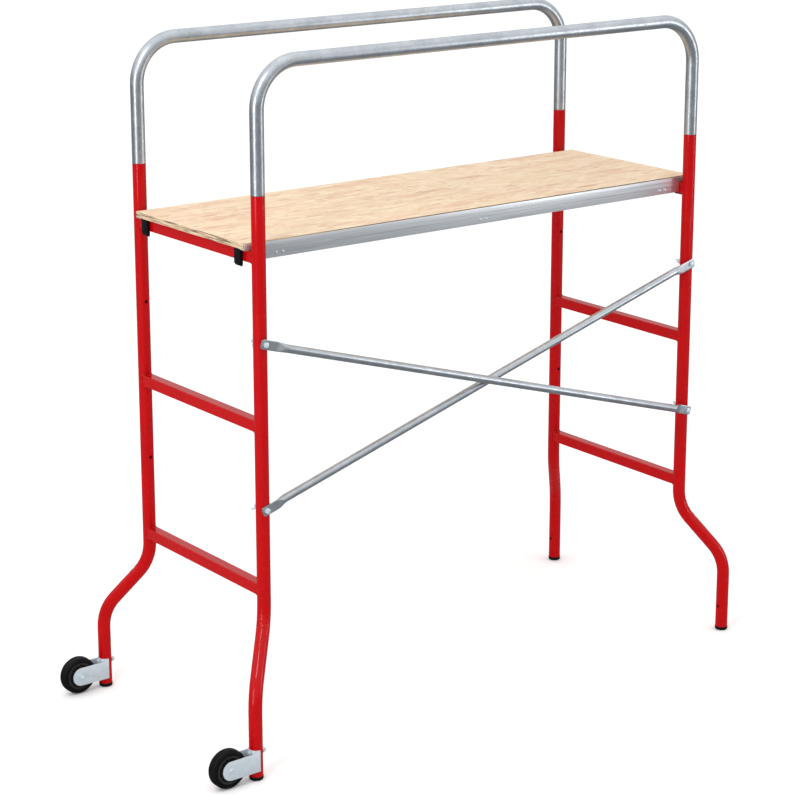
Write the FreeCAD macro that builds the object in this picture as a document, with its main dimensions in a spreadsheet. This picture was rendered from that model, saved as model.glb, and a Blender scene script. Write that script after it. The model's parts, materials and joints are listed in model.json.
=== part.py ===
import FreeCAD, Part
import math
import os
import re
import Sketcher

# Baker scaffold: two welded end frames joined by a deck and by crossed braces, with a guard hoop
# along each long side and two wheels outside the left frame.
# Frame: +X along the deck to the end without wheels, +Y to the side without braces, +Z up.
# The origin is on the ground, in the middle of the overall footprint.

SIZES = {
    # end frames
    "frame_length": 1440,      # between post axes, along X
    "frame_width": 545,        # between post axes, along Y
    "post_radius": 17.5,
    "post_wall": 2,
    "post_rise": 152,          # post above the axis of the top rung
    "leg_flare": 95,           # how far a foot stands outside its post, in X and again in Y
    "bend_drop": 78,           # from the lowest rung to the S-bend's upper corner
    "bend_height": 153,        # between the S-bend's corners
    "bend_radius": 130,
    "first_rung": 450,         # axis height of the lowest rung
    "rung_pitch": 425,
    "rung_size": 30,
    "rung_wall": 2,
    "rung_round": 3,           # outer corner radius
    "plug_height": 10,
    "plug_lip": 0.8,           # how far the flange stands outside the tube
    "plug_depth": 22,
    "plug_chamfer": 3,
    "lead_in": 2,              # on the tips of plugs and spigots
    # fasteners
    "bolt_radius": 4,
    "bolt_gap": 0.5,           # radial clearance of a bolt hole
    "nut_width": 13,           # across flats
    "nut_height": 6.5,
    "head_height": 5.3,
    "washer_radius": 8,
    "washer_thickness": 1.6,
    "thread_end": 3,           # thread standing out of a nut
    # guard hoops
    "guard_rise": 318,         # from the post tops to the axis of the top rail
    "guard_bend": 115,
    "spigot_length": 60,
    "spigot_wall": 2.5,
    "swage_length": 7,
    "swage_step": 0.6,         # how far the shoulder's foot stands back from the tube
    "swage_edge": 1,
    "sliding_gap": 0.05,       # radial clearance of a running fit
    "seat_gap": 0.3,           # between parts that rest on each other and lift apart
    # deck
    "post_gap": 4,             # between the posts and the deck's long sides
    "deck_overhang": 13,       # board beyond the outer face of a top rung
    "board_thickness": 15,
    "board_gap": 0.5,
    "board_reveal": 3,         # board standing above the rails
    "board_round": 0.8,
    "rail_setback": 2,         # board beyond each end of a rail
    "rail_web": 3,
    "rail_ledge": 3,
    "rail_drop": 27,           # web below the ledge
    "ledge_width": 22,
    "lip_width": 16,
    "lip_thickness": 2.5,
    "groove_depth": 0.8,       # shallow step along the outside of the web
    "groove_height": 19,
    "notch_gap": 1,            # between a rung's inner face and the notched web
    "beam_width": 40,
    "beam_wall": 2,
    "beam_setback": 62,        # rung's inner face to the axis of the end beam
    "rivet_radius": 3.5,
    "rivet_head": 1.4,
    "screw_radius": 2,
    "screw_head_radius": 4,
    "screw_head": 1.5,
    "screw_bite": 9,
    "screw_clearance": 0.2,
    "screw_edge": 7,           # hook's tip to its outer screw
    "screw_step": 9,           # rung's inner face to the hook's inner screw
    "clip_width": 26,
    "clip_leg": 9,
    "clip_arm": 2.6,
    "clip_gap": 0.5,
    "clip_drop": 12,           # leg below the rung
    "clip_reach": 34,          # arm inboard of the rung
    "clip_clearance": 1.5,     # between a hook and the rail beside it
    "clip_round": 6,           # slanted corner at the bottom of the leg
    # braces
    "brace_radius": 10.5,
    "brace_wall": 1.5,
    "brace_spacer": 4,         # under the falling brace's tabs, so that it passes the rising one
    "tab_thickness": 3,
    "tab_width": 25,
    "tab_length": 32,          # from the bolt to the start of the taper
    "taper_length": 30,
    "taper_step": 0.15,        # between the taper's ends and the outlines of the tube and the tab
    "vent_radius": 2,
    "vent_inset": 20,          # from the end of the round tube
    "wing_hub_radius": 8,
    "wing_hub_height": 10,
    "wing_span": 32,
    "wing_height": 13,
    "wing_thickness": 3,
    "wing_tip": 4,             # breadth of a wing's end
    "wing_draft": 1.5,         # taper of the hub
    "wing_root": 2.2,          # how far a wing reaches into the hub
    # wheels and forks
    "wheel_radius": 50,
    "wheel_width": 30,
    "wheel_lift": 1.5,         # the wheels clear the ground while the frame stands on its feet
    "tyre_round": 8,
    "rim_radius": 37,
    "rim_depth": 6,
    "rim_draft": 1,
    "web_thickness": 9,
    "hub_radius": 13,
    "hub_play": 1.5,           # between the hub and each cheek
    "hub_fillet": 1.5,         # between the hub and the web
    "sleeve_radius": 6.5,
    "wheel_gap": 17.5,         # between the leg and the tyre
    "axle_head_radius": 7,
    "axle_head": 2.6,
    "fork_gap": 0.5,           # between the leg and each cheek
    "fork_plate": 2.5,
    "fork_height": 50,
    "saddle_rise": 6,          # saddle above the cheeks
    "fork_bolt_height": 72,
}

V = FreeCAD.Vector
doc = FreeCAD.newDocument("baker_scaffold")
sheet = doc.addObject("Spreadsheet::Sheet", "Sizes")
for row, (alias, number) in enumerate(SIZES.items(), start=1):
    sheet.set(f"A{row}", alias)
    sheet.set(f"B{row}", str(number))
    sheet.setAlias(f"B{row}", alias)
doc.recompute()


def size(words):
    """Turn the aliases in an expression into references to the sheet."""
    return re.sub(r"[a-z_]+", lambda word: f"Sizes.{word[0]}" if word[0] in SIZES else word[0], words)


def value(words):
    """The number that an expression stands for."""
    result = sheet.evalExpression(size(words))
    return float(getattr(result, "Value", result))


# ---------------------------------------------------------------- places used by many parts

HOLE = "( bolt_radius + bolt_gap )"
PLUG_RADIUS = "( post_radius + plug_lip )"
AXLE_OFFSET = "( post_radius + wheel_gap + wheel_radius )"
CENTRE_X = f"( {AXLE_OFFSET} + wheel_radius - {PLUG_RADIUS} ) / 2"
SIDES_X = {"left": -1, "right": 1}
SIDES_Y = {"front": -1, "rear": 1}
POST_TOP = "( first_rung + 2 * rung_pitch + post_rise )"
RUNG_TOP = "( first_rung + 2 * rung_pitch + rung_size / 2 )"
LEDGE_BOTTOM = f"( {RUNG_TOP} + seat_gap )"
BOARD_BOTTOM = f"( {LEDGE_BOTTOM} + rail_ledge )"
RAIL_OUTER = "( frame_width / 2 - post_radius - post_gap )"
RAIL_INNER = f"( {RAIL_OUTER} - rail_web )"
HALF_BOARD = "( frame_length / 2 + rung_size / 2 + deck_overhang )"
BEAM_HEIGHT = "( rail_drop - lip_thickness - seat_gap )"
BEAM_END_X = "( frame_length / 2 - rung_size / 2 - beam_setback )"
BRACE_LEVELS = ["( first_rung + rung_pitch / 2 )", "( first_rung + 3 * rung_pitch / 2 )"]
AXLE_Z = "( wheel_lift + wheel_radius )"
CLIP_Y = f"( {RAIL_OUTER} - ledge_width - clip_clearance - clip_width / 2 )"
BEND_TOP = "( first_rung - bend_drop )"
FORK_HALF = "( post_radius + fork_gap )"
FLARE_DIAGONAL = "( leg_flare * sqrt(2) )"
FOOT_X = "( frame_length / 2 + leg_flare )"
FOOT_Y = "( frame_width / 2 + leg_flare )"


def times(sign, words):
    """An expression with a sign in front."""
    return f"{sign} * ( {words} )"


# ---------------------------------------------------------------- helpers for bodies and sketches

def new_body(name, x="0", y="0", z="0", axis=None, turn=None):
    """A body placed by expressions; turn is in degrees about axis."""
    body = doc.addObject("PartDesign::Body", name)
    body.Label = name
    if axis is not None:
        body.Placement = FreeCAD.Placement(V(0, 0, 0), FreeCAD.Rotation(axis, value(turn)))
    for letter, words in (("x", x), ("y", y), ("z", z)):
        body.setExpression(f"Placement.Base.{letter}", size(words))
    return body


def origin_plane(body, role):
    return [each for each in body.Origin.OriginFeatures if each.Role == role][0]


def new_sketch(body, plane, height="0"):
    """A sketch on an origin plane of its body, lifted along the plane's normal."""
    sketch = body.newObject("Sketcher::SketchObject", "Sketch")
    sketch.AttachmentSupport = [(origin_plane(body, plane), "")]
    sketch.MapMode = "FlatFace"
    sketch.setExpression("AttachmentOffset.Base.z", size(height))
    return sketch


def dimension(sketch, words, kind, *where):
    """A driving constraint that follows an expression."""
    index = sketch.addConstraint(Sketcher.Constraint(kind, *where, value(words)))
    sketch.setExpression(f"Constraints[{index}]", size(words))


def pin(sketch, item, point, x, y):
    """Hold a point of an element at a place given by two expressions."""
    dimension(sketch, x, "DistanceX", -1, 1, item, point)
    dimension(sketch, y, "DistanceY", -1, 1, item, point)


def draw_circle(sketch, radius, x="0", y="0"):
    centre = V(value(x), value(y), 0)
    item = sketch.addGeometry(Part.Circle(centre, V(0, 0, 1), value(radius)))
    dimension(sketch, radius, "Radius", item)
    pin(sketch, item, 3, x, y)


def draw_outline(sketch, corners):
    """A closed polygon whose corners are pairs of expressions."""
    spots = [V(value(x), value(y), 0) for x, y in corners]
    first = sketch.GeometryCount
    for start, end in zip(spots, spots[1:] + spots[:1]):
        sketch.addGeometry(Part.LineSegment(start, end))
    for step, (x, y) in enumerate(corners):
        previous = first + (step - 1) % len(corners)
        sketch.addConstraint(Sketcher.Constraint("Coincident", previous, 2, first + step, 1))
        pin(sketch, first + step, 1, x, y)


def draw_box(sketch, width, height, x="0", y="0"):
    """A rectangle about a centre."""
    corners = []
    for across, up in ((-1, -1), (1, -1), (1, 1), (-1, 1)):
        corners.append((f"{x} + {across} * ( {width} ) / 2", f"{y} + {up} * ( {height} ) / 2"))
    draw_outline(sketch, corners)


def draw_hexagon(sketch, flats, x, y):
    """A regular hexagon with a width across flats."""
    corners = []
    for step in range(6):
        angle = math.radians(60 * step)
        reach = f"( {flats} ) * {0.5 / math.cos(math.pi / 6):.7f}"
        corners.append((f"{x} + {reach} * {math.cos(angle):.7f}", f"{y} + {reach} * {math.sin(angle):.7f}"))
    draw_outline(sketch, corners)


def add_pad(body, sketch, length, middle=False, back=False):
    """Extrude a sketch along its normal, both ways from it, or backwards."""
    pad = body.newObject("PartDesign::Pad", "Pad")
    pad.Profile = sketch
    pad.setExpression("Length", size(length))
    pad.Midplane = middle
    pad.Reversed = back


def add_pocket(body, sketch, length, middle=False, back=False):
    """Cut a sketch into the body and make sure that it removed something."""
    doc.recompute()
    before = body.Shape.Volume
    pocket = body.newObject("PartDesign::Pocket", "Pocket")
    pocket.Profile = sketch
    pocket.setExpression("Length", size(length))
    pocket.Midplane = middle
    pocket.Reversed = back
    doc.recompute()
    if body.Shape.Volume > before - 1e-3:
        raise RuntimeError(f"{body.Label}: a pocket cut nothing")


def add_revolution(body, sketch):
    """Turn a sketch fully about its vertical axis."""
    revolution = body.newObject("PartDesign::Revolution", "Revolution")
    revolution.Profile = sketch
    revolution.ReferenceAxis = (sketch, ["V_Axis"])
    revolution.Angle = 360


def add_pipe(body, profile, spine):
    pipe = body.newObject("PartDesign::AdditivePipe", "Pipe")
    pipe.Profile = profile
    pipe.Spine = spine


def round_edges(body, radius, chosen):
    """Fillet the edges of the body's last feature that pass a test."""
    doc.recompute()
    base = body.Tip
    names = [f"Edge{n}" for n, edge in enumerate(base.Shape.Edges, start=1) if chosen(edge)]
    fillet = body.newObject("PartDesign::Fillet", "Fillet")
    fillet.Base = (base, names)
    fillet.setExpression("Radius", size(radius))


def draw_path(sketch, points, radii):
    """An open path of straight runs joined by tangent arcs.

    The corners are pairs of expressions; each radius belongs to one inner corner.
    """
    spots = [V(value(x), value(y), 0) for x, y in points]
    cuts = []
    for before, corner, after, words in zip(spots, spots[1:], spots[2:], radii):
        inward = (before - corner).normalize()
        outward = (after - corner).normalize()
        half_turn = (math.pi - inward.getAngle(outward)) / 2
        reach = value(words) * math.tan(half_turn)
        middle = (inward + outward).normalize()
        bulge = value(words) / math.cos(half_turn) - value(words)
        cuts.append((corner + inward * reach, corner + middle * bulge, corner + outward * reach))
    start = spots[0]
    items = []
    for entry, apex, leave in cuts:
        items.append(sketch.addGeometry(Part.LineSegment(start, entry)))
        items.append(sketch.addGeometry(arc_through(entry, apex, leave)))
        start = leave
    items.append(sketch.addGeometry(Part.LineSegment(start, spots[-1])))
    return items, spots, cuts


def arc_through(start, middle, end):
    """An arc through three points, drawn counter-clockwise as sketches need it."""
    if (middle - start).cross(end - middle).z < 0:
        start, end = end, start
    return Part.Arc(start, middle, end)


def end_index(sketch, item, spot):
    """Which end of an element, 1 or 2, lies at a spot."""
    shape = sketch.Geometry[item]
    return 1 if (shape.StartPoint - spot).Length < (shape.EndPoint - spot).Length else 2


def tie_path(sketch, path, points, radii):
    """Constrain a path: tangent at each joint, arcs of given radius, corners where the runs meet."""
    items, spots, cuts = path
    for number, (entry, _, leave) in enumerate(cuts):
        line, arc, following = items[2 * number: 2 * number + 3]
        sketch.addConstraint(Sketcher.Constraint(
            "Tangent", line, end_index(sketch, line, entry), arc, end_index(sketch, arc, entry)))
        sketch.addConstraint(Sketcher.Constraint(
            "Tangent", arc, end_index(sketch, arc, leave), following, end_index(sketch, following, leave)))
        dimension(sketch, radii[number], "Radius", arc)
        corner = sketch.addGeometry(Part.Point(spots[number + 1]), True)
        sketch.addConstraint(Sketcher.Constraint("PointOnObject", corner, 1, line))
        sketch.addConstraint(Sketcher.Constraint("PointOnObject", corner, 1, following))
        pin(sketch, corner, 1, *points[number + 1])
    pin(sketch, items[0], 1, *points[0])
    pin(sketch, items[-1], 2, *points[-1])


def new_path(body, plane, points, radii):
    sketch = new_sketch(body, plane)
    tie_path(sketch, draw_path(sketch, points, radii), points, radii)
    return sketch


# ---------------------------------------------------------------- end frames

def make_post(end, side):
    """A round tube, straight at the top, with an S-bend that carries the foot diagonally outwards.

    Its own frame has the bend in the XZ plane, so the body is turned to its corner.
    """
    sign_x, sign_y = SIDES_X[end], SIDES_Y[side]
    heading = math.degrees(math.atan2(sign_y, sign_x))
    body = new_body(f"post_{side}_{end}", f"{CENTRE_X} + {times(sign_x, 'frame_length / 2')}",
                    times(sign_y, "frame_width / 2"), axis=V(0, 0, 1), turn=f"{heading}")
    tube = new_sketch(body, "XY_Plane", POST_TOP)
    draw_circle(tube, "post_radius")
    draw_circle(tube, "post_radius - post_wall")
    points = [("0", POST_TOP), ("0", BEND_TOP), (FLARE_DIAGONAL, f"{BEND_TOP} - bend_height"),
              (FLARE_DIAGONAL, "plug_height")]
    spine = new_path(body, "XZ_Plane", points, ["bend_radius", "bend_radius"])
    add_pipe(body, tube, spine)
    for level in BRACE_LEVELS:
        drill_post(body, level, "0", 90 - heading)
    drill_post(body, "fork_bolt_height", FLARE_DIAGONAL, -heading)


def drill_post(body, level, reach, turn):
    """A hole right through a post, at a height and a distance along its bend, in a turned direction."""
    hole = new_sketch(body, "YZ_Plane", reach)
    hole.AttachmentOffset = FreeCAD.Placement(V(0, 0, 0), FreeCAD.Rotation(V(0, 1, 0), turn))
    draw_circle(hole, HOLE, "0", level)
    add_pocket(body, hole, "4 * post_radius", middle=True)


def make_rung(end, level_name, level):
    """A square tube across an end frame, coped to the round posts."""
    body = new_body(f"rung_{end}_{level_name}",
                    f"{CENTRE_X} + {times(SIDES_X[end], 'frame_length / 2')}",
                    z=f"first_rung + {level} * rung_pitch")
    section = new_sketch(body, "XZ_Plane")
    draw_box(section, "rung_size", "rung_size")
    draw_box(section, "rung_size - 2 * rung_wall", "rung_size - 2 * rung_wall")
    add_pad(body, section, "frame_width", middle=True)
    outer, inner = value("rung_size / 2"), value("rung_size / 2 - rung_wall")
    round_edges(body, "rung_round", lambda edge: is_long_corner(edge, outer))
    round_edges(body, "rung_round - rung_wall", lambda edge: is_long_corner(edge, inner))
    cope = new_sketch(body, "XY_Plane")
    for sign in SIDES_Y.values():
        draw_circle(cope, "post_radius", "0", times(sign, "frame_width / 2"))
    add_pocket(body, cope, "2 * rung_size", middle=True)


def is_long_corner(edge, reach):
    """Whether an edge runs along Y at a corner of a square about the axis."""
    box = edge.BoundBox
    sides = (box.XMin, box.XMax, box.ZMin, box.ZMax)
    return box.YLength > reach and all(abs(abs(side) - reach) < 0.01 for side in sides)


def make_plug(end, side):
    """A plastic plug: a flange under the tube and a spigot inside it."""
    body = new_body(f"foot_{side}_{end}", f"{CENTRE_X} + {times(SIDES_X[end], FOOT_X)}",
                    times(SIDES_Y[side], FOOT_Y))
    inner = "post_radius - post_wall - sliding_gap"
    profile = new_sketch(body, "XZ_Plane")
    top = "plug_height + plug_depth"
    draw_outline(profile, [("0", "0"), (f"{PLUG_RADIUS} - plug_chamfer", "0"), (PLUG_RADIUS, "plug_chamfer"),
                           (PLUG_RADIUS, "plug_height"), (inner, "plug_height"), (inner, f"{top} - lead_in"),
                           (f"{inner} - lead_in", top), ("0", top)])
    add_revolution(body, profile)


# ---------------------------------------------------------------- guard hoops

def make_guard(side):
    """An upside-down U of round tube whose swaged ends drop into the two posts of one side."""
    body = new_body(f"guard_{side}", CENTRE_X, times(SIDES_Y[side], "frame_width / 2"),
                    f"{POST_TOP} + seat_gap")
    half = "frame_length / 2"
    tube = new_sketch(body, "XY_Plane", "swage_length")
    draw_circle(tube, "post_radius", times(-1, half))
    draw_circle(tube, "post_radius - post_wall", times(-1, half))
    points = [(times(-1, half), "swage_length"), (times(-1, half), "guard_rise"),
              (half, "guard_rise"), (half, "swage_length")]
    spine = new_path(body, "XZ_Plane", points, ["guard_bend", "guard_bend"])
    add_pipe(body, tube, spine)
    outer = "( post_radius - post_wall - sliding_gap )"
    inner = f"( {outer} - spigot_wall )"
    for sign in SIDES_X.values():
        swage = new_sketch(body, "XZ_Plane")
        swage.setExpression("AttachmentOffset.Base.x", size(times(sign, half)))
        draw_outline(swage, [(inner, "-1 * spigot_length"), (f"{outer} - lead_in / 2", "-1 * spigot_length"),
                             (outer, "lead_in - spigot_length"), (outer, "0"),
                             ("post_radius - swage_step", "0"), ("post_radius", "swage_edge"),
                             ("post_radius", "swage_length"), ("post_radius - post_wall", "swage_length"),
                             (inner, "swage_edge")])
        add_revolution(body, swage)


# ---------------------------------------------------------------- deck

def make_board():
    """The plywood board: it lies on the ledges of both rails and overhangs both top rungs."""
    body = new_body("deck_board", CENTRE_X, z=BOARD_BOTTOM)
    plan = new_sketch(body, "XY_Plane")
    draw_box(plan, f"2 * {HALF_BOARD}", f"2 * ( {RAIL_INNER} - board_gap )")
    add_pad(body, plan, "board_thickness")
    top = value("board_thickness")
    round_edges(body, "board_round", lambda edge: edge.BoundBox.ZMin > top - 0.1)


def make_rail(side):
    """An extruded side rail: web, ledge under the board and lip, notched over the top rungs."""
    sign = SIDES_Y[side]
    body = new_body(f"deck_rail_{side}", CENTRE_X, times(sign, RAIL_OUTER), LEDGE_BOTTOM)
    section = new_sketch(body, "YZ_Plane")
    top = "rail_ledge + board_thickness - board_reveal"
    bottom, step = "-1 * rail_drop", "groove_height - rail_drop"
    corners = [("0", top), ("0", step),
               ("groove_depth", f"{step} - groove_depth"), ("groove_depth", bottom),
               ("lip_width", bottom), ("lip_width", "lip_thickness - rail_drop"),
               ("rail_web", "lip_thickness - rail_drop"), ("rail_web", "0"), ("ledge_width", "0"),
               ("ledge_width", "rail_ledge"), ("rail_web", "rail_ledge"), ("rail_web", top)]
    draw_outline(section, [(times(-sign, across), up) for across, up in corners])
    add_pad(body, section, f"2 * ( {HALF_BOARD} - rail_setback )", middle=True)
    notch = new_sketch(body, "XZ_Plane")
    for end in SIDES_X.values():
        inner, outer = times(end, "frame_length / 2 - rung_size / 2 - notch_gap"), times(end, HALF_BOARD)
        below = "-2 * rail_drop"
        draw_outline(notch, [(inner, below), (inner, "0"), (outer, "0"), (outer, below)])
    add_pocket(body, notch, "4 * ledge_width", middle=True)


def make_beam(name, x):
    """A flat tube across the deck, lying in the channels of both rails."""
    body = new_body(f"deck_beam_{name}", f"{CENTRE_X} + {x}", z=f"{LEDGE_BOTTOM} - {BEAM_HEIGHT} / 2")
    section = new_sketch(body, "XZ_Plane")
    draw_box(section, "beam_width", BEAM_HEIGHT)
    draw_box(section, "beam_width - 2 * beam_wall", f"{BEAM_HEIGHT} - 2 * beam_wall")
    add_pad(body, section, f"2 * {RAIL_INNER}", middle=True)


BEAMS = {"left": times(-1, BEAM_END_X), "middle": "0", "right": BEAM_END_X}


def make_beam_rivets():
    """Two rivets through each rail web and the ledge side of each beam end."""
    body = new_body("beam_rivets", CENTRE_X, z=f"{LEDGE_BOTTOM} - {BEAM_HEIGHT} / 2")
    for sign in SIDES_Y.values():
        heads = new_sketch(body, "XZ_Plane", times(-sign, f"{RAIL_OUTER} - groove_depth"))
        for x in BEAMS.values():
            for offset in ("-1 * beam_width / 4", "beam_width / 4"):
                draw_circle(heads, "rivet_radius", f"{x} + {offset}", "-1 * rivet_radius")
        add_pad(body, heads, "rivet_head + groove_depth", back=sign > 0)


CLIP_SCREWS = ["screw_edge - rung_size / 2 - clip_reach", "-1 * ( rung_size / 2 + screw_step )"]


def make_clip(end, side):
    """A hook under the board that reaches over a top rung and down its outer face."""
    sign = SIDES_X[end]
    body = new_body(f"deck_clip_{side}_{end}", f"{CENTRE_X} + {times(sign, 'frame_length / 2')}",
                    times(SIDES_Y[side], CLIP_Y), BOARD_BOTTOM)
    face = "rung_size / 2 + clip_gap"
    bottom = "-1 * ( rail_ledge + seat_gap + rung_size + clip_drop )"
    side_view = new_sketch(body, "XZ_Plane")
    tip = "-1 * ( rung_size / 2 + clip_reach )"
    corners = [(f"{face} + clip_leg", "0"), (f"{face} + clip_leg", f"{bottom} + clip_round"),
               (f"{face} + clip_leg / 2", bottom), (f"{face} + clip_leg / 6", bottom),
               (face, f"{bottom} + clip_round"), (face, "-1 * clip_arm"), (tip, "-1 * clip_arm"), (tip, "0")]
    draw_outline(side_view, [(times(sign, across), up) for across, up in corners])
    add_pad(body, side_view, "clip_width", middle=True)
    screws = new_sketch(body, "XY_Plane")
    for x in CLIP_SCREWS:
        draw_circle(screws, "screw_radius + screw_clearance", times(sign, x))
    add_pocket(body, screws, "4 * clip_arm", middle=True)


def make_screws(name, z, head_top, spots):
    """Pan-head screws driven upwards into the board: heads below z, shanks above it."""
    body = new_body(name, CENTRE_X, z=z)
    heads = new_sketch(body, "XY_Plane", head_top)
    shanks = new_sketch(body, "XY_Plane", head_top)
    for x, y in spots:
        draw_circle(heads, "screw_head_radius", x, y)
        draw_circle(shanks, "screw_radius", x, y)
    add_pad(body, heads, "screw_head", back=True)
    add_pad(body, shanks, f"screw_bite - ( {head_top} )")


def clip_screw_spots():
    spots = []
    for sign_x in SIDES_X.values():
        for sign_y in SIDES_Y.values():
            for x in CLIP_SCREWS:
                spots.append((times(sign_x, f"frame_length / 2 + {x}"),
                              times(sign_y, CLIP_Y)))
    return spots


def board_screw_spots():
    """Screws up through the ledges, evenly spaced between the end beams."""
    spots = []
    for sign in SIDES_Y.values():
        for share in (-0.8, -0.4, 0, 0.4, 0.8):
            spots.append((times(share, BEAM_END_X), times(sign, f"{RAIL_INNER} - ledge_width / 2")))
    return spots


# ---------------------------------------------------------------- braces

FRONT_FACE = "( frame_width / 2 + post_radius )"
BRACE_HALF = "( ( frame_length * frame_length + rung_pitch * rung_pitch ) ^ 0.5 / 2 )"
TUBE_HALF = f"( {BRACE_HALF} - tab_length - taper_length )"
SLOPE = "atan(rung_pitch / frame_length)"


def make_brace(name, rise, tube_side, stack):
    """A round tube with flattened, bolted ends, lying on one side of its tabs.

    Rise is the sign of its slope, tube_side the side of the tabs that the tube lies on, and stack
    the thickness of what lies between the tabs and the posts.
    """
    tube_y = tube_side * value("brace_radius - tab_thickness / 2")
    tube_half, brace_half = value(TUBE_HALF), value(BRACE_HALF)
    radius, wall = value("brace_radius"), value("brace_wall")
    step, reach = value("taper_step"), value("tab_length")
    tab_half, tab_thickness = value("tab_width / 2"), value("tab_thickness")
    start = V(-tube_half, tube_y, 0)
    along = V(1, 0, 0)
    shape = Part.makeCylinder(radius, 2 * tube_half, start, along)
    shape = shape.cut(Part.makeCylinder(radius - wall, 2 * tube_half, start, along))
    for end in (-1, 1):
        vent = V(end * (tube_half - value("vent_inset")), tube_y, -radius)
        shape = shape.cut(Part.makeCylinder(value("vent_radius"), radius, vent))
    for end in (-1, 1):
        round_end = upright_ellipse(end * tube_half, tube_y, radius - step, radius - 2 * step)
        flat_end = upright_ellipse(end * (brace_half - reach), 0, tab_half - step, tab_thickness / 2 - step)
        taper = Part.makeLoft([round_end, flat_end], True)
        tab = Part.makeBox(reach, tab_thickness, 2 * tab_half, V(0, -tab_thickness / 2, -tab_half))
        tab.translate(V(end * brace_half - (reach if end > 0 else 0), 0, 0))
        bolt = V(end * brace_half, -tab_thickness / 2, 0)
        tab = tab.fuse(Part.makeCylinder(tab_half, tab_thickness, bolt, V(0, 1, 0)))
        tab = tab.cut(Part.makeCylinder(value(HOLE), tab_thickness, bolt, V(0, 1, 0)))
        shape = shape.fuse([taper, tab])
    brace = doc.addObject("Part::Feature", name)
    brace.Label = name
    brace.Shape = shape.removeSplitter()
    y = -value(f"{FRONT_FACE} + {stack} + tab_thickness / 2")
    place = V(value(CENTRE_X), y, value("first_rung + rung_pitch"))
    brace.Placement = FreeCAD.Placement(place, FreeCAD.Rotation(V(0, -rise, 0), value(SLOPE)))


def upright_ellipse(x, y, half_height, half_width):
    """A wire in a plane across X, taller than it is wide."""
    centre = V(x, y, 0)
    ellipse = Part.Ellipse(centre + V(0, 0, half_height), centre + V(0, half_width, 0), centre)
    return Part.Wire(ellipse.toShape())


def brace_spots():
    """The four bolts of the braces, seen along Y, and what lies between each tab and its post."""
    spots = []
    for sign in SIDES_X.values():
        for rank, level in enumerate(BRACE_LEVELS):
            falling = (sign < 0) == (rank == 1)
            spots.append((times(sign, "frame_length / 2"), level, "brace_spacer" if falling else "0"))
    return spots


def make_brace_spacers():
    body = new_body("brace_spacers", CENTRE_X, f"-1 * {FRONT_FACE}")
    rings = new_sketch(body, "XZ_Plane")
    for x, z, stack in brace_spots():
        if stack == "brace_spacer":
            draw_circle(rings, "washer_radius", x, z)
            draw_circle(rings, HOLE, x, z)
    add_pad(body, rings, "brace_spacer")


def make_brace_bolts():
    body = new_body("brace_bolts", CENTRE_X, f"-1 * ( {FRONT_FACE} + tab_thickness )")
    for x, z, stack in brace_spots():
        head = new_sketch(body, "XZ_Plane", stack)
        draw_hexagon(head, "nut_width", x, z)
        add_pad(body, head, "head_height")
        shank = new_sketch(body, "XZ_Plane", stack)
        draw_circle(shank, "bolt_radius", x, z)
        add_pad(body, shank, f"tab_thickness + {stack} + 2 * post_radius + washer_thickness + seat_gap"
                " + wing_hub_height + thread_end", back=True)


def make_brace_washers():
    body = new_body("brace_washers", CENTRE_X, "-1 * ( frame_width / 2 - post_radius )")
    rings = new_sketch(body, "XZ_Plane")
    for x, z, _ in brace_spots():
        draw_circle(rings, "washer_radius", x, z)
        draw_circle(rings, HOLE, x, z)
    add_pad(body, rings, "washer_thickness", back=True)


def make_wing_nut(end, level_name, level, turn):
    """A wing nut behind a front post, with its wings turned about the bolt."""
    body = new_body(f"wing_nut_{end}_{level_name}",
                    f"{CENTRE_X} + {times(SIDES_X[end], 'frame_length / 2')}",
                    "-1 * ( frame_width / 2 - post_radius - washer_thickness - seat_gap )",
                    level, axis=V(0, 1, 0), turn=f"{turn}")
    hub = new_sketch(body, "XY_Plane")
    bore = "bolt_radius + sliding_gap"
    draw_outline(hub, [(bore, "0"), ("wing_hub_radius", "0"),
                       ("wing_hub_radius - wing_draft", "wing_hub_height"), (bore, "wing_hub_height")])
    add_revolution(body, hub)
    wings = new_sketch(body, "YZ_Plane")
    root = "wing_hub_radius - wing_root"
    for sign in (-1, 1):
        draw_outline(wings, [("1", times(sign, root)),
                             ("wing_hub_height - 3", times(sign, "wing_span / 2 - 3")),
                             ("wing_hub_height + 1", times(sign, "wing_span / 2")),
                             ("wing_height", times(sign, "wing_span / 2 - 2")),
                             ("wing_height", times(sign, "wing_span / 2 - 2 - wing_tip")),
                             ("wing_hub_height - 1", times(sign, root))])
    add_pad(body, wings, "wing_thickness", middle=True)


# ---------------------------------------------------------------- wheels

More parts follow.
